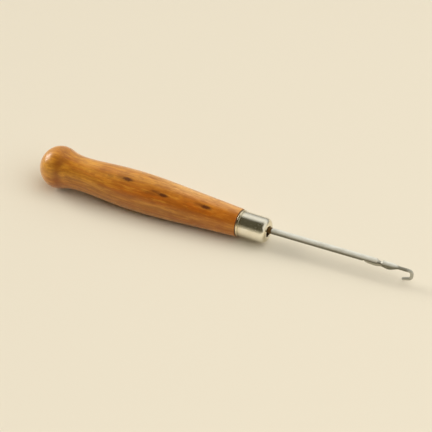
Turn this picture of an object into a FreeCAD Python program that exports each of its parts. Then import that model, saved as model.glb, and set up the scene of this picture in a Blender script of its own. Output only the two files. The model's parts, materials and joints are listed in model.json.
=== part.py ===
import FreeCAD, Part
import math
import os

# A latch hook: a turned wooden handle, a plated ferrule and a steel needle that ends in a small
# J hook. A hinged latch near the hook closes its mouth; it is drawn open, lying back under the needle.
# Row frame: origin on the handle's axis in the middle of the ferrule's straight barrel, +X towards
# the hook, +Z up, with the mouth of the hook towards -Z. Sizes are in millimetres.
# The solids are drawn with X measured from the ferrule's rear edge, and moved to the row frame last.

V = FreeCAD.Vector
ALONG = V(1, 0, 0)
ACROSS = V(0, 1, 0)

# Handle: the bulb is a ball, a little flattened at the back; the other outline points are
# (place along X, radius).
BULB_X = -83.4
BULB_R = 8.97
BULB_REAR_DEPTH = 8.4
BULB_JOIN_X = -80.2
NECK = (-69.5, 7.15)
SWELL = (-58.3, 7.85)
BELLY = (-47.3, 8.27)
SHOULDER = (-32.8, 7.85)
TAPER = (-16.8, 6.82)
HANDLE_END_R = 5.77
HANDLE_END_SLOPE = -0.075
HANDLE_END_ROUND = 0.6
TENON_R = 4.70
TENON_LENGTH = 10.8
TENON_CHAMFER = 1.5

# Ferrule: a drawn cup with a rolled bead at the back and a curled-in front opening.
FERRULE_LENGTH = 12.6
FERRULE_R = 5.18
FERRULE_WALL = 0.45
FERRULE_SHOULDER_R = 2.4
BEAD_WIDTH = 1.1
BEAD_HEIGHT = 0.28
OPENING_R = 2.25
CURL_R = 0.45
CURL_LIP = 0.3

# The needle is not quite true in the handle: it leaves the ferrule a little high and leans upwards.
# Its own frame has +X along the stem and its origin on the stem's axis at the ferrule's front.
NEEDLE_RISE = 0.85
NEEDLE_LEAN_DEG = 1.25
GLUE_GAP = 0.03

# Needle, in its own frame. The tang ends in hammered wings that key it in the wood.
STEM_R = 1.275
TANG_LENGTH = 42.0
WING_LENGTH = 9.0
WING_WIDTH = 3.4
WING_THICKNESS = 1.1
# The flat under the stem that the open latch lies along, and the waist just behind the cheek
SEAT_X = 39.9
SEAT_Z = -0.1
SEAT_RUN_OUT_R = 1.2
WAIST_X = 46.9
WAIST_Z = -0.2
WAIST_R = 0.78
WAIST_GROOVE_R = 1.6
# The slotted cheek, which hangs a little below the stem, and the thin neck in front of it
CHEEK_REAR_X = 48.1
CHEEK_FULL_REAR_X = 49.0
CHEEK_FULL_FRONT_X = 51.6
CHEEK_Z = -0.3
CHEEK_HALF_HEIGHT = 1.48
CHEEK_HALF_WIDTH = 1.22
CHEEK_FLAT_Y = 1.15
NECK_X = 54.7
WIRE_R = 0.67
SECTION_HOLD = 0.5
CUTTER_SPAN = 8.0

# Hook, in the needle's frame: two bends and a short limb, then a barb that flares outwards
BEND_X = 58.75
TOP_BEND_R = 1.2
LIMB_LENGTH = 0.92
LOWER_BEND_R = 1.9
BARB_FLARE_DEG = 18.0
BARB_LENGTH = 2.1
BARB_TIP_R = 0.62

# Latch and rivet, in the needle's frame. On the latch, u runs back from the pivot along the open
# latch and v runs outwards, away from the stem.
PIVOT_X = 49.8
PIVOT_Z = -0.55
RIVET_R = 0.36
RIVET_HEAD_R = 0.56
RIVET_HEAD_HEIGHT = 0.12
RIVET_FIT = 0.01
EYE_HOLE_R = 0.40
EYE_R = 1.05
ARM_THICKNESS = 0.62
SLOT_WIDTH = 0.8
SLOT_REAR_X = 47.8
SLOT_CEILING_REAR_X = 48.9
SLOT_CEILING_Z = 0.62
SLOT_FRONT_TOP_X = 51.2
SLOT_FRONT_LOW_X = 53.1
SLOT_FRONT_LOW_Z = -1.5
LATCH_BACK_V = -0.25
ARM_OUTER_V = 1.05
ARM_U = 6.2
# Sections across the spoon: (u, half width, half height, v of the centre)
SPOON_SECTIONS = [
    (2.3, 0.29, 0.62, 0.40),
    (3.2, 0.50, 0.98, 0.42),
    (4.6, 0.92, 1.08, 0.42),
    (6.2, 1.00, 1.00, 0.38),
    (7.7, 0.98, 0.88, 0.34),
    (8.7, 0.78, 0.72, 0.30),
    (9.3, 0.48, 0.44, 0.33),
]
CUP_R = 0.72
CUP_FLOOR_V = 0.72
CUP_NEAR_U = 7.1
CUP_FAR_U = 7.9


def outline(edges):
    return Part.Face(Part.Wire(Part.__sortEdges__(edges)))


def line(*points):
    return [Part.makeLine(a, b) for a, b in zip(points, points[1:])]


def arc(start, middle, end):
    return Part.Arc(start, middle, end).toShape()


def xz(x, z):
    return V(x, 0, z)


def curve_through(points, start_direction, end_direction):
    spline = Part.BSplineCurve()
    spline.interpolate(Points=points, InitialTangent=start_direction, FinalTangent=end_direction)
    return spline.toShape()


def round_corner(centre_x, centre_z, radius, start_deg, end_deg):
    """A quarter or other arc in the XZ plane, by its centre, radius and end angles."""
    angles = [math.radians(a) for a in (start_deg, (start_deg + end_deg) / 2, end_deg)]
    points = [xz(centre_x + radius * math.cos(a), centre_z + radius * math.sin(a)) for a in angles]
    return arc(*points), points[0], points[-1]


def turned(edges):
    """A solid of revolution about the handle's axis from a closed half section."""
    return outline(edges).revolve(V(0, 0, 0), ALONG, 360)


def needle_placement():
    lean = FreeCAD.Rotation(ACROSS, -NEEDLE_LEAN_DEG)
    return FreeCAD.Placement(V(FERRULE_LENGTH, 0, NEEDLE_RISE), lean)


def placed(shape):
    """The shape moved from the needle's own frame to its place in the handle."""
    moved = shape.copy()
    moved.Placement = needle_placement().multiply(moved.Placement)
    return moved


def tang_shape(gap):
    """The round tang with its hammered wings, grown by gap for the hole in the wood."""
    rear = -TANG_LENGTH - gap
    rod = Part.makeCylinder(STEM_R + gap, TANG_LENGTH + gap, V(rear, 0, 0), ALONG)
    width = WING_WIDTH + 2 * gap
    thickness = WING_THICKNESS + 2 * gap
    wings = Part.makeBox(WING_LENGTH + 2 * gap, width, thickness, V(rear, -width / 2, -thickness / 2))
    return rod.fuse(wings)


def handle():
    pole = xz(BULB_X - BULB_REAR_DEPTH, 0)
    crown = xz(BULB_X, BULB_R)
    part_way = math.radians(45)
    rear_middle = xz(BULB_X - BULB_REAR_DEPTH * math.sin(part_way), BULB_R * math.cos(part_way))
    rear = curve_through([pole, rear_middle, crown], xz(0, 1), xz(1, 0))

    join_angle = math.asin((BULB_JOIN_X - BULB_X) / BULB_R)
    front, _, join = round_corner(BULB_X, 0, BULB_R, 90, 90 - math.degrees(join_angle))
    end_x = -HANDLE_END_ROUND
    outline_points = [join] + [xz(*p) for p in (NECK, SWELL, BELLY, SHOULDER, TAPER)]
    outline_points.append(xz(end_x, HANDLE_END_R))
    grip = curve_through(outline_points, xz(1, -math.tan(join_angle)), xz(1, HANDLE_END_SLOPE))
    corner, _, face_top = round_corner(end_x, HANDLE_END_R - HANDLE_END_ROUND, HANDLE_END_ROUND, 90, 0)
    tenon = line(
        face_top,
        xz(0, TENON_R),
        xz(TENON_LENGTH - TENON_CHAMFER, TENON_R),
        xz(TENON_LENGTH, TENON_R - TENON_CHAMFER),
        xz(TENON_LENGTH, 0),
        pole,
    )
    body = turned([rear, front, grip, corner] + tenon)
    return body.cut(placed(tang_shape(GLUE_GAP)))


def ferrule():
    shoulder_x = FERRULE_LENGTH - FERRULE_SHOULDER_R
    shoulder_r = FERRULE_R - FERRULE_SHOULDER_R
    inside_r = FERRULE_R - FERRULE_WALL
    inside_front = FERRULE_LENGTH - FERRULE_WALL
    bead = arc(xz(0, FERRULE_R), xz(BEAD_WIDTH / 2, FERRULE_R + BEAD_HEIGHT), xz(BEAD_WIDTH, FERRULE_R))
    outer, barrel_end, face_top = round_corner(shoulder_x, shoulder_r, FERRULE_SHOULDER_R, 90, 0)
    curl_x = FERRULE_LENGTH - CURL_R
    curl, curl_out, curl_in = round_corner(curl_x, OPENING_R + CURL_R, CURL_R, 0, -90)
    inner, inner_face, inner_barrel = round_corner(
        shoulder_x, shoulder_r, FERRULE_SHOULDER_R - FERRULE_WALL, 0, 90
    )
    lip_x = curl_x - CURL_LIP
    edges = [bead, outer, curl, inner]
    edges += line(xz(BEAD_WIDTH, FERRULE_R), barrel_end)
    edges += line(face_top, curl_out)
    edges += line(curl_in, xz(lip_x, OPENING_R), xz(lip_x, OPENING_R + FERRULE_WALL),
                  xz(inside_front, OPENING_R + FERRULE_WALL + CURL_LIP), inner_face)
    edges += line(inner_barrel, xz(0, inside_r), xz(0, FERRULE_R))
    return turned(edges)


def ring(x, half_width, half_height, z=0.0):
    """A closed ellipse across the needle at x, for a loft; every ring starts at its top."""
    centre = V(x, 0, z)
    top = V(x, 0, z + half_height)
    right = V(x, half_width, z)
    left = V(x, -half_width, z)
    if half_height >= half_width:
        curve, start = Part.Ellipse(top, right, centre), 0.0
    else:
        curve, start = Part.Ellipse(left, top, centre), math.pi / 2
    return Part.Wire([Part.ArcOfEllipse(curve, start, start + 2 * math.pi).toShape()])


def round_bar(radius, length, start, direction):
    return Part.makeCylinder(radius, length, start, direction)


def cross_pin(radius, x, z, span):
    """A cylinder of the given span across the needle, centred on it."""
    return Part.makeCylinder(radius, span, V(x, -span / 2, z), ACROSS)


def plate(edges, thickness):
    """A closed outline in the XZ plane, thickened equally to both sides."""
    slab = outline(edges).extrude(ACROSS * thickness)
    slab.translate(ACROSS * (-thickness / 2))
    return slab


def block(x_from, x_to, z_from, z_to, width=CUTTER_SPAN):
    return Part.makeBox(x_to - x_from, width, z_to - z_from, V(x_from, -width / 2, z_from))


def cheek():
    """The swelling that carries the rivet, drawn down to the thin neck in front."""
    rear = CHEEK_REAR_X - SECTION_HOLD
    sections = [
        ring(rear - SECTION_HOLD, STEM_R, STEM_R),
        ring(rear, STEM_R, STEM_R),
        ring(CHEEK_FULL_REAR_X, CHEEK_HALF_WIDTH, CHEEK_HALF_HEIGHT, CHEEK_Z),
        ring(CHEEK_FULL_FRONT_X, CHEEK_HALF_WIDTH, CHEEK_HALF_HEIGHT, CHEEK_Z),
        ring(NECK_X, WIRE_R, WIRE_R),
        ring(NECK_X + SECTION_HOLD, WIRE_R, WIRE_R),
    ]
    swelling = Part.makeLoft(sections, True, False)
    half_span = CUTTER_SPAN / 2
    between_flats = block(rear, NECK_X, -half_span, half_span, 2 * CHEEK_FLAT_Y)
    behind = block(rear - SECTION_HOLD, rear, -half_span, half_span)
    in_front = block(NECK_X, NECK_X + SECTION_HOLD, -half_span, half_span)
    return swelling.common(between_flats.fuse([behind, in_front]))


def wire_disc(centre, direction):
    return Part.Face(Part.Wire([Part.makeCircle(WIRE_R, centre, direction)]))


def hook():
    """Neck, top bend, limb, lower bend and flared barb, all of round wire."""
    upwards = V(0, 0, 1)
    neck_start = V(NECK_X + SECTION_HOLD, 0, 0)
    neck_end = V(BEND_X, 0, 0)
    neck = round_bar(WIRE_R, BEND_X - neck_start.x, neck_start, ALONG)
    top = wire_disc(neck_end, ALONG).revolve(neck_end - upwards * TOP_BEND_R, ACROSS, 90)
    limb_end = V(BEND_X + TOP_BEND_R, 0, -TOP_BEND_R - LIMB_LENGTH)
    limb = round_bar(WIRE_R, LIMB_LENGTH, limb_end, upwards)
    lower_centre = limb_end - ALONG * LOWER_BEND_R
    lower_turn = 90 - BARB_FLARE_DEG
    lower = wire_disc(limb_end, upwards).revolve(lower_centre, ACROSS, lower_turn)
    flare = math.radians(BARB_FLARE_DEG)
    back = V(-math.cos(flare), 0, -math.sin(flare))
    barb_start = lower_centre + V(math.sin(flare), 0, -math.cos(flare)) * LOWER_BEND_R
    barb = Part.makeCone(WIRE_R, BARB_TIP_R, BARB_LENGTH, barb_start, back)
    tip = Part.makeSphere(BARB_TIP_R, barb_start + back * BARB_LENGTH)
    return neck.fuse([top, limb, lower, barb, tip])


def latch_seat():
    """The flat milled under the stem for the open latch, with a rounded run-out at its back."""
    run_out_end = SEAT_X + SEAT_RUN_OUT_R
    flat = block(run_out_end, CHEEK_REAR_X, SEAT_Z - CUTTER_SPAN, SEAT_Z)
    run_out = cross_pin(SEAT_RUN_OUT_R, run_out_end, SEAT_Z - SEAT_RUN_OUT_R, CUTTER_SPAN)
    below = block(SEAT_X, run_out_end, SEAT_Z - CUTTER_SPAN, SEAT_Z - SEAT_RUN_OUT_R)
    return flat.fuse([run_out, below])


def latch_slot():
    """The slot through the cheek: a flat ceiling, and a sloped front that clears the closed latch."""
    below = -CUTTER_SPAN
    rear_top = xz(SLOT_REAR_X, SEAT_Z)
    edges = line(
        rear_top,
        xz(SLOT_CEILING_REAR_X, SLOT_CEILING_Z),
        xz(SLOT_FRONT_TOP_X, SLOT_CEILING_Z),
        xz(SLOT_FRONT_LOW_X, SLOT_FRONT_LOW_Z),
        xz(SLOT_FRONT_LOW_X, below),
        xz(SLOT_REAR_X, below),
        rear_top,
    )
    return plate(edges, SLOT_WIDTH)


def needle():
    stem = round_bar(STEM_R, CHEEK_REAR_X - 2 * SECTION_HOLD, V(0, 0, 0), ALONG)
    waist = Part.makeTorus(WAIST_R + WAIST_GROOVE_R, WAIST_GROOVE_R, xz(WAIST_X, WAIST_Z), ALONG)
    rivet_hole = cross_pin(RIVET_R + RIVET_FIT, PIVOT_X, PIVOT_Z, CUTTER_SPAN)
    body = tang_shape(0).fuse([stem, cheek(), hook()])
    return placed(body.cut([waist, latch_seat(), latch_slot(), rivet_hole]).removeSplitter())


def spoon():
    """The cupped end of the latch, flat on the side that meets the stem."""
    sections = [ring(PIVOT_X - u, w, h, PIVOT_Z - v) for u, w, h, v in SPOON_SECTIONS]
    body = Part.makeLoft(sections, True, False)
    back_z = PIVOT_Z - LATCH_BACK_V
    above = block(SEAT_X, PIVOT_X, back_z, back_z + CUTTER_SPAN)
    cup_z = PIVOT_Z - CUP_FLOOR_V - CUP_R
    cup_start = V(PIVOT_X - CUP_FAR_U, 0, cup_z)
    cup = round_bar(CUP_R, CUP_FAR_U - CUP_NEAR_U, cup_start, ALONG)
    ends = [Part.makeSphere(CUP_R, V(PIVOT_X - u, 0, cup_z)) for u in (CUP_NEAR_U, CUP_FAR_U)]
    return body.cut([above, cup.fuse(ends)]), cup.fuse(ends)


def latch():
    """Eye, thin arm and cupped spoon, drawn along -X from the pivot."""
    eye = cross_pin(EYE_R, PIVOT_X, PIVOT_Z, ARM_THICKNESS)
    back_z = PIVOT_Z - LATCH_BACK_V
    outer_z = PIVOT_Z - ARM_OUTER_V
    arm_end = PIVOT_X - ARM_U
    edges = line(
        xz(PIVOT_X, back_z),
        xz(PIVOT_X, outer_z),
        xz(arm_end, outer_z),
        xz(arm_end, back_z),
        xz(PIVOT_X, back_z),
    )
    bowl, cup = spoon()
    rivet_hole = cross_pin(EYE_HOLE_R, PIVOT_X, PIVOT_Z, CUTTER_SPAN)
    body = eye.fuse([plate(edges, ARM_THICKNESS), bowl]).cut([rivet_hole, cup])
    return placed(body.removeSplitter())


def rivet_head(side):
    """A low dome standing on the cheek's flat, on the side given by +1 or -1."""
    dome_r = (RIVET_HEAD_R**2 + RIVET_HEAD_HEIGHT**2) / (2 * RIVET_HEAD_HEIGHT)
    centre_y = side * (CHEEK_FLAT_Y + RIVET_HEAD_HEIGHT - dome_r)
    ball = Part.makeSphere(dome_r, V(PIVOT_X, centre_y, PIVOT_Z))
    seat = V(PIVOT_X, side * CHEEK_FLAT_Y, PIVOT_Z)
    return ball.common(Part.makeCylinder(dome_r, CHEEK_FLAT_Y, seat, ACROSS * side))


def latch_rivet():
    """A pin with a low domed head at each end."""
    shank = cross_pin(RIVET_R, PIVOT_X, PIVOT_Z, 2 * CHEEK_FLAT_Y)
    return placed(shank.fuse([rivet_head(1), rivet_head(-1)]).removeSplitter())


NODES = {
    "handle": handle,
    "ferrule": ferrule,
    "needle": needle,
    "latch": latch,
    "latch_rivet": latch_rivet,
}

barrel_middle = (BEAD_WIDTH + FERRULE_LENGTH - FERRULE_SHOULDER_R) / 2
os.makedirs("parts", exist_ok=True)
for name, build in NODES.items():
    shape = build()
    shape.translate(ALONG * -barrel_middle)
    shape.exportStep(f"parts/{name}.step")
    print(name, shape.ShapeType, len(shape.Solids), shape.isValid(), round(shape.Volume, 2))
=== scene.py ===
import json
import math

import bmesh
import bpy
import numpy as np
from mathutils import Matrix, Vector


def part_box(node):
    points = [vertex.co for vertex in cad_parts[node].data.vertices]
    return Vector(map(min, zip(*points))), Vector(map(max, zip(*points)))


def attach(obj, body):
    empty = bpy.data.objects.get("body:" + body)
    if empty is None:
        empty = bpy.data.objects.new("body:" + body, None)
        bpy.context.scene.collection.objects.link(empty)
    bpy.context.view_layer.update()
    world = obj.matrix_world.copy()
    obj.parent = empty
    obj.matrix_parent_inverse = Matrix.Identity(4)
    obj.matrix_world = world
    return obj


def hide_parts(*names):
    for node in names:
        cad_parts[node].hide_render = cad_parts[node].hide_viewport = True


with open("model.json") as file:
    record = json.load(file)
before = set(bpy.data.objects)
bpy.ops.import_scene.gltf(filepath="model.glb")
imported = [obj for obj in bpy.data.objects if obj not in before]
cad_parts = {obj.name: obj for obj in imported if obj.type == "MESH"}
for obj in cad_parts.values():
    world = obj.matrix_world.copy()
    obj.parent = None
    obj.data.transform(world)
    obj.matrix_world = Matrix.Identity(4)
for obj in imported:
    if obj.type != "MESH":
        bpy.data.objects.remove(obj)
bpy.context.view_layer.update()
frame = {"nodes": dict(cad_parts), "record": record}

# The latch hook's visible pieces. The wood and the ferrule are turned here from their own outlines;
# the needle, the latch and its rivet are cleaned copies of the CAD meshes. Places in the tables below
# are millimetres in the row frame, and MM turns them into Blender's metres.
MM = 0.001

RECORD = frame["record"]
HANDLE_LOW, HANDLE_HIGH = (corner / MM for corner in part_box("handle"))
FERRULE_LOW, FERRULE_HIGH = (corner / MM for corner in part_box("ferrule"))
BARREL_R = RECORD["mounts"][0]["dims"]["r_mm"]
BARREL_HALF = RECORD["mounts"][0]["dims"]["length_mm"] / 2
SEAM_X = FERRULE_LOW.x

# Handle outline: (distance behind the ferrule's rear edge, radius)
BULB_BACK = 83.4
BULB_R = HANDLE_HIGH.z
BULB_JOIN_BACK = 80.2
GRIP_POINTS = [(69.5, 7.15), (58.3, 7.85), (47.3, 8.27), (32.8, 7.85), (16.8, 6.82)]
EDGE_R = 5.77
EDGE_SLOPE = -0.075
EDGE_ROUND = 0.6
TENON_R = 4.70
TENON_CHAMFER = 1.5
BORE_R = 1.35
BORE_DEPTH = 44.0
BORE_START = 2.0
BORE_SEGMENTS = 48

# Ferrule outline
WALL = 0.45
SHOULDER_R = 2.4
BEAD_WIDTH = 1.1
BEAD_HEIGHT = 0.28
OPENING_R = 2.25
CURL_R = 0.45
CURL_LIP = 0.3

# Where the needle leaves the ferrule, how it leans, and places along it from the ferrule's front
NEEDLE_RISE = 0.85
NEEDLE_LEAN = math.radians(1.25)
ROOT_SHADE_LENGTH = 1.6
NECK_REAR = 53.4
NECK_FRONT = 58.0

TURNED_SEGMENTS = 192
SMOOTH_ANGLE = math.radians(32)


def srgb(red, green, blue):
    """A colour given as screen values from 0 to 255, as the linear values that shaders take."""
    linear = []
    for channel in (red, green, blue):
        c = channel / 255
        linear.append(c / 12.92 if c <= 0.04045 else ((c + 0.055) / 1.055) ** 2.4)
    return (*linear, 1.0)


# ---------------------------------------------------------------- outlines and meshes


def arc_points(centre_x, centre_r, radius, start_deg, end_deg, steps):
    angles = np.radians(np.linspace(start_deg, end_deg, steps))
    return [(centre_x + radius * math.cos(a), centre_r + radius * math.sin(a)) for a in angles]


def smooth_curve(points, start_direction, end_direction, step):
    """Points along the smoothest curve through the given ones, leaving and arriving in the directions."""
    knots = np.array(points)
    lengths = np.linalg.norm(np.diff(knots, axis=0), axis=1)
    count = len(knots)
    system = np.eye(count)
    targets = np.zeros((count, 2))
    targets[0] = start_direction
    targets[-1] = end_direction
    for i in range(1, count - 1):
        before, after = lengths[i - 1], lengths[i]
        system[i, i - 1 : i + 2] = after, 2 * (before + after), before
        rise_before = (knots[i] - knots[i - 1]) / before
        rise_after = (knots[i + 1] - knots[i]) / after
        targets[i] = 3 * (after * rise_before + before * rise_after)
    tangents = np.linalg.solve(system, targets)
    curve = []
    for i, length in enumerate(lengths):
        for t in np.arange(0, 1, step / length):
            t2, t3 = t * t, t * t * t
            curve.append(
                (2 * t3 - 3 * t2 + 1) * knots[i]
                + (t3 - 2 * t2 + t) * length * tangents[i]
                + (3 * t2 - 2 * t3) * knots[i + 1]
                + (t3 - t2) * length * tangents[i + 1]
            )
    curve.append(knots[-1])
    return [tuple(p) for p in curve]


def mesh_object(name, vertices, faces):
    mesh = bpy.data.meshes.new(name)
    mesh.from_pydata(vertices, [], faces)
    mesh.validate()
    piece = bpy.data.objects.new(name, mesh)
    bpy.context.scene.collection.objects.link(piece)
    return piece


def turned(name, outline, segments=TURNED_SEGMENTS):
    """A closed turned mesh about X from an outline of (x, radius) in millimetres. An outline that
    starts and ends on the axis is capped there; any other is joined end to start, as a ring."""
    on_axis = outline[0][1] < 1e-6
    inner = outline[1:-1] if on_axis else outline
    vertices = []
    for x, r in inner:
        for k in range(segments):
            turn = 2 * math.pi * k / segments
            vertices.append((x * MM, -r * MM * math.sin(turn), r * MM * math.cos(turn)))
    rows = len(inner)
    faces = []
    for i in range(rows - 1 if on_axis else rows):
        here, there = i * segments, (i + 1) % rows * segments
        for k in range(segments):
            after = (k + 1) % segments
            faces.append((here + k, here + after, there + after, there + k))
    if on_axis:
        for row, (x, _), flip in ((0, outline[0], True), (rows - 1, outline[-1], False)):
            pole = len(vertices)
            vertices.append((x * MM, 0, 0))
            for k in range(segments):
                rim = (row * segments + k, row * segments + (k + 1) % segments)
                faces.append((pole, rim[1], rim[0]) if flip else (pole, *rim))
    piece = mesh_object(name, vertices, faces)
    face_outwards(piece)
    return piece


def face_outwards(piece):
    shape = bmesh.new()
    shape.from_mesh(piece.data)
    bmesh.ops.recalc_face_normals(shape, faces=shape.faces)
    shape.to_mesh(piece.data)
    shape.free()


def smooth(piece, angle=SMOOTH_ANGLE):
    """Smooth shading with the edges sharper than the angle kept crisp."""
    shape = bmesh.new()
    shape.from_mesh(piece.data)
    for face in shape.faces:
        face.smooth = True
    for edge in shape.edges:
        edge.smooth = len(edge.link_faces) == 2 and edge.calc_face_angle(0) < angle
    shape.to_mesh(piece.data)
    shape.free()


def cad_copy(name, node):
    """A copy of a CAD node's mesh with its split vertices welded again."""
    mesh = frame["nodes"][node].data.copy()
    mesh.materials.clear()
    shape = bmesh.new()
    shape.from_mesh(mesh)
    bmesh.ops.remove_doubles(shape, verts=shape.verts, dist=0.0005 * MM)
    shape.to_mesh(mesh)
    shape.free()
    if "custom_normal" in mesh.attributes:
        mesh.attributes.remove(mesh.attributes["custom_normal"])
    piece = bpy.data.objects.new(name, mesh)
    bpy.context.scene.collection.objects.link(piece)
    smooth(piece)
    return piece


def finish_piece(piece, body, node, material):
    piece.data.materials.append(material)
    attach(piece, body)
    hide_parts(node)


def bore_out(piece):
    """Cuts the needle's round hole into the front of the wood, along the leaning needle."""
    outline = [(-BORE_DEPTH, 0), (-BORE_DEPTH, BORE_R), (BORE_START, BORE_R), (BORE_START, 0)]
    cutter = turned("bore_cutter", outline, BORE_SEGMENTS)
    lean = Matrix.Rotation(-NEEDLE_LEAN, 4, "Y")
    cutter.matrix_world = Matrix.Translation(Vector((FERRULE_HIGH.x, 0, NEEDLE_RISE)) * MM) @ lean
    cut = piece.modifiers.new("bore", "BOOLEAN")
    cut.operation = "DIFFERENCE"
    cut.solver = "EXACT"
    cut.object = cutter
    bpy.context.view_layer.update()
    result = bpy.data.meshes.new_from_object(piece.evaluated_get(bpy.context.evaluated_depsgraph_get()))
    piece.modifiers.clear()
    piece.data = result
    bpy.data.objects.remove(cutter)


def handle_piece():
    """Bulb, neck, belly and taper in one smooth line, a rounded front edge, and the thinner tenon."""
    bulb_x = SEAM_X - BULB_BACK
    rear_depth = bulb_x - HANDLE_LOW.x
    rear = [
        (bulb_x - rear_depth * math.cos(a), BULB_R * math.sin(a))
        for a in np.radians(np.linspace(0, 90, 40))
    ]
    lead = math.asin((BULB_BACK - BULB_JOIN_BACK) / BULB_R)
    front = arc_points(bulb_x, 0, BULB_R, 90, 90 - math.degrees(lead), 10)
    grip_points = [front[-1]] + [(SEAM_X - back, r) for back, r in GRIP_POINTS]
    grip_points.append((SEAM_X - EDGE_ROUND, EDGE_R))
    leaving = (math.cos(lead), -math.sin(lead))
    grip = smooth_curve(grip_points, leaving, (1, EDGE_SLOPE), 0.6)
    edge = arc_points(SEAM_X - EDGE_ROUND, EDGE_R - EDGE_ROUND, EDGE_ROUND, 90, 0, 9)
    tenon_end = HANDLE_HIGH.x
    tenon = [
        (SEAM_X, TENON_R),
        (tenon_end - TENON_CHAMFER, TENON_R),
        (tenon_end, TENON_R - TENON_CHAMFER),
        (tenon_end, 0),
    ]
    outline = rear + front[1:] + grip[1:] + edge[1:] + tenon
    piece = turned("handle_turned", outline)
    bore_out(piece)
    smooth(piece)
    return piece


def ferrule_piece():
    """A thin drawn cup: rolled bead, straight barrel, rounded shoulder, dished face, curled opening."""
    front = FERRULE_HIGH.x
    shoulder_x = front - SHOULDER_R
    shoulder_r = BARREL_R - SHOULDER_R
    bead_bulge = BEAD_WIDTH / 2
    bead = [
        (SEAM_X + bead_bulge * (1 - math.cos(a)), BARREL_R + BEAD_HEIGHT * math.sin(a))
        for a in np.radians(np.linspace(0, 180, 19))
    ]
    barrel = [(x, BARREL_R) for x in np.linspace(-BARREL_HALF + 0.25, shoulder_x, 24)]
    shoulder = arc_points(shoulder_x, shoulder_r, SHOULDER_R, 90, 0, 21)
    curl = arc_points(front - CURL_R, OPENING_R + CURL_R, CURL_R, 0, -90, 11)
    lip_x = front - CURL_R - CURL_LIP
    inner = [(lip_x, OPENING_R), (lip_x, OPENING_R + WALL), (front - WALL, OPENING_R + WALL + CURL_LIP)]
    inside = arc_points(shoulder_x, shoulder_r, SHOULDER_R - WALL, 0, 90, 11)
    back = [(SEAM_X, BARREL_R - WALL)]
    outline = bead + barrel + shoulder[1:] + curl + inner + inside + back
    piece = turned("ferrule_cup", outline)
    smooth(piece, math.radians(40))
    return piece


# ---------------------------------------------------------------- materials


class Shader:
    """Adds and joins the nodes of one material or world."""

    def __init__(self, owner):
        owner.use_nodes = True
        self.tree = owner.node_tree
        self.tree.nodes.clear()

    def add(self, kind, inputs=None, **settings):
        node = self.tree.nodes.new("ShaderNode" + kind)
        for key, setting in settings.items():
            setattr(node, key, setting)
        for key, source in (inputs or {}).items():
            self.feed(node.inputs[key], source)
        return node

    def feed(self, socket, source):
        if isinstance(source, bpy.types.NodeSocket):
            self.tree.links.new(source, socket)
        else:
            socket.default_value = source

    def math(self, operation, *values):
        return self.add("Math", dict(enumerate(values)), operation=operation).outputs[0]

    def vector(self, operation, *values):
        node = self.add("VectorMath", dict(enumerate(values)), operation=operation)
        return node.outputs["Value" if operation in ("LENGTH", "DISTANCE") else "Vector"]

    def noise(self, place, scale, detail=3.0, roughness=0.5):
        """Soft noise from 0 to 1 with its own scale along each axis, in cycles per millimetre."""
        stretched = self.vector("MULTIPLY", place, scale)
        settings = {"Vector": stretched, "Scale": 1.0, "Detail": detail, "Roughness": roughness}
        return self.add("TexNoise", settings).outputs["Fac"]

    def spread(self, value, low, high, to_low=0.0, to_high=1.0):
        """Maps low..high smoothly to to_low..to_high and holds the ends."""
        settings = {"Value": value, "From Min": low, "From Max": high, "To Min": to_low, "To Max": to_high}
        return self.add("MapRange", settings, interpolation_type="SMOOTHSTEP").outputs["Result"]

    def mix(self, share, first, second, blend="MIX"):
        node = self.add("Mix", data_type="RGBA", blend_type=blend)
        self.feed(node.inputs["Factor"], share)
        first_colour, second_colour = node.inputs[6], node.inputs[7]
        self.feed(first_colour, first)
        self.feed(second_colour, second)
        return node.outputs[2]

    def ramp(self, value, stops):
        node = self.add("ValToRGB", {"Fac": value})
        elements = node.color_ramp.elements
        while len(elements) > 1:
            elements.remove(elements[-1])
        elements[0].position, elements[0].color = stops[0]
        for position, colour in stops[1:]:
            elements.new(position).color = colour
        return node.outputs["Color"]

    def near(self, value, centre, half_width):
        """1 where value is at the centre, falling smoothly to 0 at half_width from it."""
        away = self.math("ABSOLUTE", self.math("SUBTRACT", value, centre))
        return self.spread(away, 0.0, half_width, 1.0, 0.0)

    def bump(self, height, depth_mm, normal=None):
        inputs = {"Height": height, "Strength": 1.0, "Distance": depth_mm * MM}
        if normal is not None:
            inputs["Normal"] = normal
        return self.add("Bump", inputs).outputs["Normal"]


def new_material(name):
    material = bpy.data.materials.new(name)
    return material, Shader(material)


def place_in_mm(s):
    """The shaded point in the row frame in millimetres, and its parts."""
    place = s.vector("SCALE", s.add("TexCoord").outputs["Object"])
    place.node.inputs["Scale"].default_value = 1 / MM
    parts = s.add("SeparateXYZ", {"Vector": place})
    return place, parts.outputs["X"], parts.outputs["Y"], parts.outputs["Z"]


# Wood: the tree's centre lies below and beside the handle, so its rings run along it as soft lines.
TREE_CENTRE = (0.0, 21.0, -46.0)
RING_SPACING = 1.9
# Bands along the handle: (angle up from the near side and half angle, in degrees, then the
# distances behind the ferrule where the band begins to show and where it is full). The heart band is
# redder wood, the low band is painted shade on the low near side, the top highlight band is a painted
# highlight along the top, and the top band marks the top side.
HEART_BAND = (45.0, 42.0, 62.0, 36.0)
LOW_SHADE_BAND = (-8.0, 38.0, 84.0, 60.0)
TOP_HIGHLIGHT_BAND = (101.0, 38.0, 44.0, 20.0)
TOP_BAND = (105.0, 60.0, 100.0, 95.0)
# Distances behind the ferrule: where the wood reddens, and the bulb's dark ring and pale cap
RED_FROM = 34.0
RED_TO = 3.0
BULB_RING = 79.3
BULB_RING_HALF = 3.3
CAP_FROM = 83.0
CAP_TO = 85.8
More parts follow.
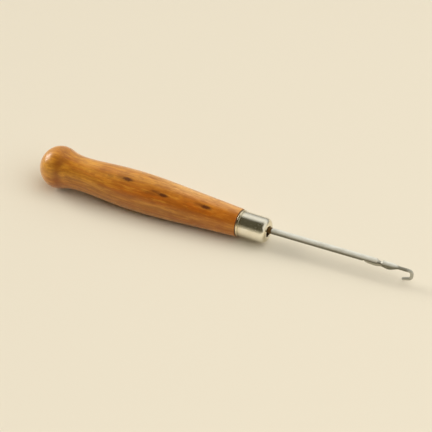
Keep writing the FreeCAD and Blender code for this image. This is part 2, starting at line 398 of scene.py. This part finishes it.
# Dark flecks: (distance behind the ferrule, angle up from the near side in degrees, radius there,
# half length, half width, strength)
FLECKS = [
    (49.2, 65.0, 8.22, 3.3, 1.1, 0.95),
    (32.2, 51.0, 7.8, 2.9, 0.95, 0.95),
    (35.2, 54.0, 7.9, 3.2, 0.8, 0.55),
    (13.6, 57.5, 6.6, 3.2, 1.0, 0.95),
    (16.3, 60.0, 6.8, 3.3, 0.8, 0.5),
    (56.8, 60.0, 7.95, 1.8, 0.9, 0.4),
    (50.8, 64.0, 8.2, 4.4, 1.1, 0.4),
    (37.5, 45.0, 8.0, 3.6, 0.8, 0.35),
]

PALE_WOOD = srgb(218, 161, 62)
GOLD_WOOD = srgb(190, 128, 30)
RED_WOOD = srgb(176, 93, 13)
LATE_WOOD = srgb(134, 74, 11)
PAINTED_HIGHLIGHT_WOOD = srgb(248, 206, 138)
PORE = srgb(96, 46, 14)
FLECK = srgb(70, 30, 6)
WOOD_SEAM_SHADE = srgb(50, 30, 16)


def wood_rings(s, place):
    """How dark the late wood is at each point: soft on one side of each ring and crisp on the other."""
    sway = s.noise(place, (0.018, 0.05, 0.05), 2.0)
    from_centre = s.vector("SUBTRACT", place, TREE_CENTRE)
    flat = s.vector("MULTIPLY", from_centre, (0.0, 1.0, 1.0))
    distance = s.vector("LENGTH", flat)
    swayed = s.math("ADD", distance, s.math("MULTIPLY", sway, 9.0))
    rings = s.math("FRACT", s.math("DIVIDE", swayed, RING_SPACING))
    rise = s.spread(rings, 0.25, 0.88)
    fall = s.spread(rings, 0.9, 1.0, 1.0, 0.0)
    return s.math("MULTIPLY", rise, fall)


def angle_band(s, x, y, z, angle_deg, half_angle_deg, fade_from, fade_to):
    """A band along the handle at an angle up from the near side, growing from fade_from to
    fade_to, both measured back from the ferrule. It masks redder wood, painted shade and a painted
    highlight."""
    angle = s.math("ARCTAN2", z, s.math("MULTIPLY", y, -1.0))
    across = s.near(angle, math.radians(angle_deg), math.radians(half_angle_deg))
    along = s.spread(x, SEAM_X - fade_from, SEAM_X - fade_to)
    return s.math("MULTIPLY", across, along)


def fleck_mask(s, place):
    """The dark flecks, each a thin ragged lens along the grain."""
    ragged = s.math("MULTIPLY", s.noise(place, (1.2, 3.0, 3.0), 3.0), 0.7)
    mask = 0.0
    for back, angle_deg, radius, half_length, half_width, strength in FLECKS:
        angle = math.radians(angle_deg)
        centre = (SEAM_X - back, -radius * math.cos(angle), radius * math.sin(angle))
        offset = s.vector("SUBTRACT", place, centre)
        size = (1 / half_length, 1 / half_width, 1 / half_width)
        reach = s.math("ADD", s.vector("LENGTH", s.vector("MULTIPLY", offset, size)), ragged)
        mask = s.math("MAXIMUM", mask, s.spread(reach, 0.7, 1.5, strength, 0.0))
    return mask


def varnished_wood():
    material, s = new_material("varnished_wood")
    place, x, y, z = place_in_mm(s)

    rings = wood_rings(s, place)
    broad = s.noise(place, (0.028, 0.22, 0.22), 3.0, 0.55)
    streaks = s.noise(place, (0.10, 1.1, 1.1), 4.0, 0.6)
    mottle = s.noise(place, (0.22, 0.45, 0.45), 3.0, 0.55)
    patches = s.noise(place, (0.05, 0.09, 0.09), 2.0)
    fibres = s.noise(place, (0.16, 3.2, 3.2), 4.0, 0.6)
    fine = s.noise(place, (0.5, 11.0, 11.0), 3.0, 0.6)
    pores = s.spread(s.noise(place, (0.42, 7.5, 7.5), 2.0, 0.5), 0.64, 0.74)

    colour = s.mix(s.spread(patches, 0.35, 0.68), GOLD_WOOD, PALE_WOOD)
    colour = s.mix(s.spread(broad, 0.44, 0.68, 0.0, 0.7), colour, RED_WOOD)
    heart = angle_band(s, x, y, z, *HEART_BAND)
    heart = s.math("MULTIPLY", heart, s.spread(broad, 0.25, 0.6, 0.55, 1.0))
    colour = s.mix(heart, colour, RED_WOOD)
    # Painted shade: darker wood colour on the low near side.
    low_side_shade = angle_band(s, x, y, z, *LOW_SHADE_BAND)
    colour = s.mix(s.math("MULTIPLY", low_side_shade, 0.4), colour, LATE_WOOD)
    # Painted highlight: paler wood colour along the top, where the light falls.
    top_highlight = angle_band(s, x, y, z, *TOP_HIGHLIGHT_BAND)
    colour = s.mix(s.math("MULTIPLY", top_highlight, 0.9), colour, PAINTED_HIGHLIGHT_WOOD)
    colour = s.mix(s.math("MULTIPLY", rings, 0.34), colour, LATE_WOOD)
    colour = s.mix(s.spread(streaks, 0.47, 0.64, 0.0, 0.42), colour, LATE_WOOD)
    colour = s.mix(s.spread(streaks, 0.36, 0.46, 0.4, 0.0), colour, PALE_WOOD)
    colour = s.mix(s.spread(mottle, 0.48, 0.66, 0.0, 0.35), colour, LATE_WOOD)
    colour = s.mix(s.spread(fibres, 0.35, 0.7, 0.0, 0.30), colour, LATE_WOOD)
    colour = s.mix(s.spread(fine, 0.3, 0.7, 0.10, 0.0), colour, PALE_WOOD)

    # Redder and deeper towards the ferrule, and darker in a ring where the bulb turns to end grain,
    # except on its top side.
    near_ferrule = s.spread(x, SEAM_X - RED_FROM, SEAM_X - RED_TO, 0.0, 0.26)
    colour = s.mix(near_ferrule, colour, RED_WOOD)
    wavering = s.math("ADD", x, s.math("MULTIPLY", s.noise(place, (0.1, 0.25, 0.25), 2.0), 2.2))
    bulb_ring = s.near(wavering, SEAM_X - BULB_RING, BULB_RING_HALF)
    top_side = angle_band(s, x, y, z, *TOP_BAND)
    bulb_ring = s.math("MULTIPLY", bulb_ring, s.spread(top_side, 0.0, 0.7, 1.0, 0.15))
    colour = s.mix(s.math("MULTIPLY", bulb_ring, 0.75), colour, LATE_WOOD)
    cap = s.spread(x, SEAM_X - CAP_TO, SEAM_X - CAP_FROM, 0.36, 0.0)
    colour = s.mix(cap, colour, PALE_WOOD)

    colour = s.mix(s.math("MULTIPLY", pores, 0.42), colour, PORE)
    colour = s.mix(s.math("MULTIPLY", fleck_mask(s, place), 0.92), colour, FLECK)
    # Painted shade: a dark line on the wood's front edge where it meets the ferrule.
    colour = s.mix(s.spread(x, SEAM_X - 0.35, SEAM_X - 0.05, 0.0, 0.8), colour, WOOD_SEAM_SHADE)

    # Hands have dulled the varnish a little, in patches.
    wear = s.noise(place, (0.06, 0.11, 0.11), 4.0, 0.6)
    coat_roughness = s.spread(wear, 0.3, 0.7, 0.12, 0.26)
    grain_height = s.math("SUBTRACT", s.math("MULTIPLY", fibres, 0.5), s.math("MULTIPLY", pores, 0.8))
    grain = s.bump(grain_height, 0.02)
    flow = s.noise(place, (0.09, 0.35, 0.35), 2.0)
    dimples = s.noise(place, (1.3, 1.8, 1.8), 2.0)
    ripple = s.math("ADD", s.math("MULTIPLY", flow, 1.0), s.math("MULTIPLY", dimples, 0.05))
    coat_normal = s.bump(s.math("SUBTRACT", ripple, s.math("MULTIPLY", pores, 0.05)), 0.12)

    surface = s.add(
        "BsdfPrincipled",
        {
            "Base Color": colour,
            "Roughness": s.spread(fibres, 0.3, 0.7, 0.42, 0.55),
            "Normal": grain,
            "Specular IOR Level": 0.15,
            "Coat Weight": 0.6,
            "Coat Roughness": coat_roughness,
            "Coat IOR": 1.5,
            "Coat Tint": srgb(255, 238, 205),
            "Coat Normal": coat_normal,
            "Sheen Weight": 0.5,
            "Sheen Roughness": 0.35,
            "Sheen Tint": srgb(255, 240, 215),
        },
    )
    s.add("OutputMaterial", {"Surface": surface.outputs[0]})
    return material


NICKEL = srgb(232, 228, 214)
NICKEL_WORN = srgb(214, 196, 150)
METAL_CREVICE_SHADE = srgb(70, 62, 48)
ROOT_SHADE_BROWN = srgb(92, 66, 26)
DULL_AND_SHADED_STEEL = srgb(106, 102, 84)


def nickel_plate():
    material, s = new_material("nickel_plate")
    place, x, _, _ = place_in_mm(s)
    turned_lines = s.noise(place, (26.0, 0.5, 0.5), 4.0, 0.65)
    hairlines = s.noise(place, (4.5, 0.12, 0.12), 3.0, 0.7)
    smudges = s.noise(place, (0.35, 0.35, 0.35), 4.0, 0.6)
    scratches = s.spread(s.noise(place, (0.9, 9.0, 9.0), 2.0, 0.5), 0.66, 0.72)
    dents = s.noise(place, (0.22, 0.22, 0.22), 1.0)

    # The plating has rubbed through to warmer metal on the bead, the shoulder and the curled rim.
    ragged = s.math("MULTIPLY", s.noise(place, (1.4, 1.4, 1.4), 3.0), 0.9)
    rim = s.near(s.math("ADD", x, ragged), FERRULE_HIGH.x + 0.2, 0.9)
    less_ragged = s.math("MULTIPLY", ragged, 0.4)
    bead = s.near(s.math("ADD", x, less_ragged), SEAM_X + BEAD_WIDTH / 2 + 0.1, 0.5)
    worn = s.math("MAXIMUM", s.math("MULTIPLY", rim, 0.3), s.math("MULTIPLY", bead, 0.45))
    near_seam = s.spread(s.math("ADD", x, ragged), SEAM_X + 0.8, SEAM_X + 3.4, 0.55, 0.0)
    worn = s.math("MAXIMUM", worn, near_seam)
    colour = s.mix(s.spread(smudges, 0.4, 0.75, 0.0, 0.22), NICKEL, NICKEL_WORN)
    colour = s.mix(worn, colour, NICKEL_WORN)
    # Painted shade in the crevice at the ferrule's rear edge and in the groove behind the bead; both are
    # also rougher.
    seam = s.near(x, SEAM_X, 0.18)
    groove = s.near(x, SEAM_X + BEAD_WIDTH, 0.16)
    crevice_shade = s.math("MAXIMUM", s.math("MULTIPLY", seam, 0.85), s.math("MULTIPLY", groove, 0.6))
    colour = s.mix(crevice_shade, colour, METAL_CREVICE_SHADE)

    roughness = s.spread(smudges, 0.3, 0.75, 0.15, 0.27)
    roughness = s.math("ADD", roughness, s.math("MULTIPLY", scratches, 0.12))
    roughness = s.math("ADD", roughness, s.math("MULTIPLY", crevice_shade, 0.35))
    height = s.math("MULTIPLY", turned_lines, 0.0016)
    height = s.math("ADD", height, s.math("MULTIPLY", hairlines, 0.0035))
    height = s.math("SUBTRACT", height, s.math("MULTIPLY", scratches, 0.002))
    height = s.math("ADD", height, s.math("MULTIPLY", dents, 0.09))
    surface = s.add(
        "BsdfPrincipled",
        {
            "Base Color": colour,
            "Metallic": 1.0,
            "Roughness": roughness,
            "Normal": s.bump(height, 1.0),
        },
    )
    s.add("OutputMaterial", {"Surface": surface.outputs[0]})
    return material


SEAT_MIDDLE = 45.0
SEAT_HALF = 4.5
SEAT_Z = -0.1
WAIST_MIDDLE = 46.9
WAIST_HALF = 1.9
HOOK_DULLNESS = 0.52
ROOT_SHADE_FADE = 0.45


def needle_marks(s, place, x, z, colour, roughness):
    """Marks by place on the needle: a duller tone on the neck and a little on the hook, painted shade
    underneath, in the waist and along the latch's seat, and painted brown shade where it enters the
    ferrule."""
    along = s.math("SUBTRACT", x, FERRULE_HIGH.x)
    axis_z = s.math("ADD", s.math("MULTIPLY", along, math.tan(NEEDLE_LEAN)), NEEDLE_RISE)
    height_above = s.math("SUBTRACT", z, axis_z)
    behind_hook = s.spread(along, NECK_FRONT - 0.3, NECK_FRONT + 0.9, 1.0, 0.0)
    behind_hook = s.math("MULTIPLY", behind_hook, s.spread(height_above, -1.7, -1.3))
    # Painted shade: darker towards the needle's underside.
    underside_shade = s.spread(height_above, 0.05, 0.95, 0.95, 0.0)
    neck = s.spread(along, NECK_REAR, NECK_REAR + 1.4, 0.0, 0.8)
    dull_and_shade = s.spread(behind_hook, 0.0, 1.0, HOOK_DULLNESS, 0.0)
    dull_and_shade = s.math("ADD", dull_and_shade, s.math("MULTIPLY", s.math("MAXIMUM", underside_shade, neck), behind_hook))
    # Painted shade in the waist's groove.
    waist_shade = s.near(along, WAIST_MIDDLE, WAIST_HALF)
    dull_and_shade = s.math("MAXIMUM", dull_and_shade, s.math("MULTIPLY", waist_shade, 0.6))
    colour = s.mix(dull_and_shade, colour, DULL_AND_SHADED_STEEL)
    # Painted shade along the latch's seat, between the needle and the latch.
    seat_shade = s.near(height_above, SEAT_Z, 0.4)
    seat_shade = s.math("MULTIPLY", seat_shade, s.near(along, SEAT_MIDDLE, SEAT_HALF))
    colour = s.mix(s.math("MULTIPLY", seat_shade, 0.85), colour, METAL_CREVICE_SHADE)
    # Painted shade: brown where the ferrule's shoulder shades the needle's root; it is also rougher and
    # less metallic there.
    ragged = s.math("MULTIPLY", s.noise(place, (1.1, 1.6, 1.6), 3.0), 0.9)
    root_shade_end = FERRULE_HIGH.x + ROOT_SHADE_LENGTH
    root_shade = s.spread(s.math("ADD", x, ragged), root_shade_end, root_shade_end + ROOT_SHADE_FADE, 1.0, 0.0)
    colour = s.mix(root_shade, colour, ROOT_SHADE_BROWN)
    roughness = s.math("MAXIMUM", roughness, s.math("MULTIPLY", root_shade, 0.75))
    metallic = s.spread(root_shade, 0.0, 1.0, 0.5, 0.15)
    return colour, roughness, metallic


def drawn_steel(name, clean, tarnished, shine, edge_mm, on_needle=False):
    """Steel with lengthwise drawing marks, tarnish in patches, fine scratches and softened edges."""
    material, s = new_material(name)
    place, x, _, z = place_in_mm(s)
    drawn = s.noise(place, (0.35, 14.0, 14.0), 4.0, 0.65)
    marks = s.noise(place, (2.2, 1.1, 1.1), 3.0, 0.6)
    patches = s.noise(place, (0.22, 0.5, 0.5), 4.0, 0.6)
    scratches = s.spread(s.noise(place, (1.1, 12.0, 5.0), 2.0), 0.67, 0.72)
    colour = s.mix(s.spread(patches, 0.42, 0.74, 0.0, 0.45), clean, tarnished)
    colour = s.mix(s.math("MULTIPLY", s.spread(marks, 0.58, 0.75), 0.35), colour, tarnished)
    roughness = s.spread(patches, 0.3, 0.75, shine, shine + 0.14)
    roughness = s.math("ADD", roughness, s.math("MULTIPLY", scratches, 0.1))
    height = s.math("ADD", s.math("MULTIPLY", drawn, 0.006), s.math("MULTIPLY", marks, 0.012))
    height = s.math("SUBTRACT", height, s.math("MULTIPLY", scratches, 0.004))
    rounded = s.add("Bevel", {"Radius": edge_mm * MM}, samples=6).outputs["Normal"]
    metallic = 0.75
    if on_needle:
        colour, roughness, metallic = needle_marks(s, place, x, z, colour, roughness)
    surface = s.add(
        "BsdfPrincipled",
        {
            "Base Color": colour,
            "Metallic": metallic,
            "Roughness": roughness,
            "Normal": s.bump(height, 1.0, rounded),
        },
    )
    s.add("OutputMaterial", {"Surface": surface.outputs[0]})
    return material


# ---------------------------------------------------------------- pieces


CLEAN_NEEDLE = srgb(234, 233, 224)
TARNISHED_NEEDLE = srgb(180, 176, 160)
CLEAN_LATCH = srgb(172, 169, 156)
TARNISHED_LATCH = srgb(130, 125, 109)
CLEAN_RIVET = srgb(140, 136, 122)
TARNISHED_RIVET = srgb(100, 94, 80)

finish_piece(handle_piece(), "tool", "handle", varnished_wood())
finish_piece(ferrule_piece(), "tool", "ferrule", nickel_plate())

needle_steel = drawn_steel("needle_steel", CLEAN_NEEDLE, TARNISHED_NEEDLE, 0.42, 0.05, on_needle=True)
latch_steel = drawn_steel("latch_steel", CLEAN_LATCH, TARNISHED_LATCH, 0.36, 0.04)
rivet_steel = drawn_steel("rivet_steel", CLEAN_RIVET, TARNISHED_RIVET, 0.32, 0.03)
finish_piece(cad_copy("needle_drawn", "needle"), "tool", "needle", needle_steel)
finish_piece(cad_copy("latch_arm", "latch"), "latch", "latch", latch_steel)
finish_piece(cad_copy("rivet_pin", "latch_rivet"), "tool", "latch_rivet", rivet_steel)


# ---------------------------------------------------------------- stage, light and camera

# The floor touches the handle's belly and passes LATCH_ROOM millimetres under the hook, because the
# closed latch reaches lower than the hook does. So it isn't parallel to the handle's axis.
FLOOR_HALF = 1.5
LATCH_ROOM = 1.6
FLOOR_COLOUR = srgb(228, 221, 205)
SKY_DARK = (0.082, 0.073, 0.043, 1.0)
SKY_BRIGHT = (0.98, 0.96, 0.90, 1.0)
SKY_FAR = (0.42, 0.41, 0.38, 1.0)
SKY_NEAR = (0.55, 0.50, 0.38, 1.0)
SKY_NEAR_ABOVE = (0.42, 0.38, 0.28, 1.0)
SKY_PANEL = (0.90, 0.86, 0.76, 1.0)
PANEL_FROM = 0.35
PANEL_TO = 0.65
PANEL_HALF_WIDTH = 0.4
PANEL_FADE = 0.15


def resting_line():
    """A point just under the hook, and the slope of the line from it that just touches the handle."""
    hook = min((v.co for v in frame["nodes"]["needle"].data.vertices), key=lambda p: p.z)
    under = hook - Vector((0, 0, LATCH_ROOM * MM))
    slope = max(
        (under.z - v.co.z) / (under.x - v.co.x)
        for v in frame["nodes"]["handle"].data.vertices
        if v.co.x < SEAM_X * MM
    )
    return under, slope


def pale_floor():
    under, slope = resting_line()
    corners = [(-1, -1), (1, -1), (1, 1), (-1, 1)]
    vertices = []
    for u, w in corners:
        x = u * FLOOR_HALF
        vertices.append((x, w * FLOOR_HALF, under.z + (x - under.x) * slope))
    floor = mesh_object("floor", vertices, [(0, 1, 2, 3)])
    material, s = new_material("pale_floor")
    surface = s.add("BsdfDiffuse", {"Color": FLOOR_COLOUR, "Roughness": 0.6})
    clear = s.add("BsdfTransparent")
    below = s.add("NewGeometry").outputs["Backfacing"]
    shown = s.add("MixShader", {0: below, 1: surface.outputs[0], 2: clear.outputs[0]})
    s.add("OutputMaterial", {"Surface": shown.outputs[0]})
    floor.data.materials.append(material)


def studio_world():
    """The room round the tool: dim on the camera's side, bright high up beyond it, grey at the far
    horizon. The ramp runs over the tool's length, from the near horizon by the zenith to the far one."""
    world = bpy.data.worlds.new("studio")
    bpy.context.scene.world = world
    s = Shader(world)
    direction = s.add("TexCoord").outputs["Generated"]
    parts = s.add("SeparateXYZ", {"Vector": direction})
    toward = s.math("MULTIPLY", parts.outputs["Y"], -1.0)
    height = s.math("ARCTAN2", parts.outputs["Z"], toward)
    half_turn = s.math("DIVIDE", height, math.pi)
    stops = [
        (0.0, SKY_NEAR),
        (0.06, SKY_NEAR_ABOVE),
        (0.14, SKY_DARK),
        (0.50, SKY_DARK),
        (0.64, SKY_BRIGHT),
        (0.76, SKY_BRIGHT),
        (0.92, SKY_FAR),
        (1.0, SKY_FAR),
    ]
    # A bright panel stands beyond the hook: the ferrule's rounded front shows it and its barrel doesn't.
    panel = s.spread(parts.outputs["X"], PANEL_FROM, PANEL_TO)
    aside = s.math("ABSOLUTE", parts.outputs["Y"])
    narrow = s.spread(aside, PANEL_HALF_WIDTH, PANEL_HALF_WIDTH + PANEL_FADE, 1.0, 0.0)
    panel = s.math("MULTIPLY", panel, narrow)
    colour = s.mix(panel, s.ramp(half_turn, stops), SKY_PANEL)
    sky = s.add("Background", {"Color": colour, "Strength": 1.0})
    s.add("OutputWorld", {"Surface": sky.outputs[0]})


def area_light(name, direction, distance, size, power, colour):
    light = bpy.data.lights.new(name, "AREA")
    light.size = size
    light.energy = power
    light.color = colour
    lamp = bpy.data.objects.new(name, light)
    bpy.context.scene.collection.objects.link(lamp)
    toward = Vector(direction).normalized()
    lamp.location = toward * distance
    lamp.rotation_euler = toward.to_track_quat("Z", "Y").to_euler()
    return lamp


KEY_DIRECTION = (0.45, -0.1, 0.89)
KEY_COLOUR = (1.0, 0.98, 0.95)
WINDOW_DIRECTION = (-0.911, 0.077, 0.404)
WINDOW_COLOUR = (1.0, 0.96, 0.9)


def studio_lights():
    """A large soft light overhead that the plating doesn't show, and a window behind the bulb."""
    key = area_light("key", KEY_DIRECTION, distance=0.9, size=1.2, power=6.6, colour=KEY_COLOUR)
    key.visible_glossy = False
    area_light("left_window", WINDOW_DIRECTION, distance=2.4, size=1.08, power=42.0, colour=WINDOW_COLOUR)


CAMERA_AIM = Vector((-15.194, -2.535, 1.858)) * MM
CAMERA_AZIMUTH = math.radians(26.78)
CAMERA_ELEVATION = math.radians(38.0)
CAMERA_DISTANCE = 0.6
CAMERA_LENS = 125.7
SENSOR_WIDTH = 36.0


def camera():
    across, tall = math.cos(CAMERA_ELEVATION), math.sin(CAMERA_ELEVATION)
    back = Vector((math.sin(CAMERA_AZIMUTH) * across, -math.cos(CAMERA_AZIMUTH) * across, tall))
    lens = bpy.data.cameras.new("camera")
    lens.lens = CAMERA_LENS
    lens.sensor_width = SENSOR_WIDTH
    lens.clip_start = 0.01
    eye = bpy.data.objects.new("camera", lens)
    bpy.context.scene.collection.objects.link(eye)
    eye.location = CAMERA_AIM + back * CAMERA_DISTANCE
    eye.rotation_euler = back.to_track_quat("Z", "Y").to_euler()
    bpy.context.scene.camera = eye


pale_floor()
studio_world()
studio_lights()
camera()
bpy.context.scene.view_settings.view_transform = "Standard"
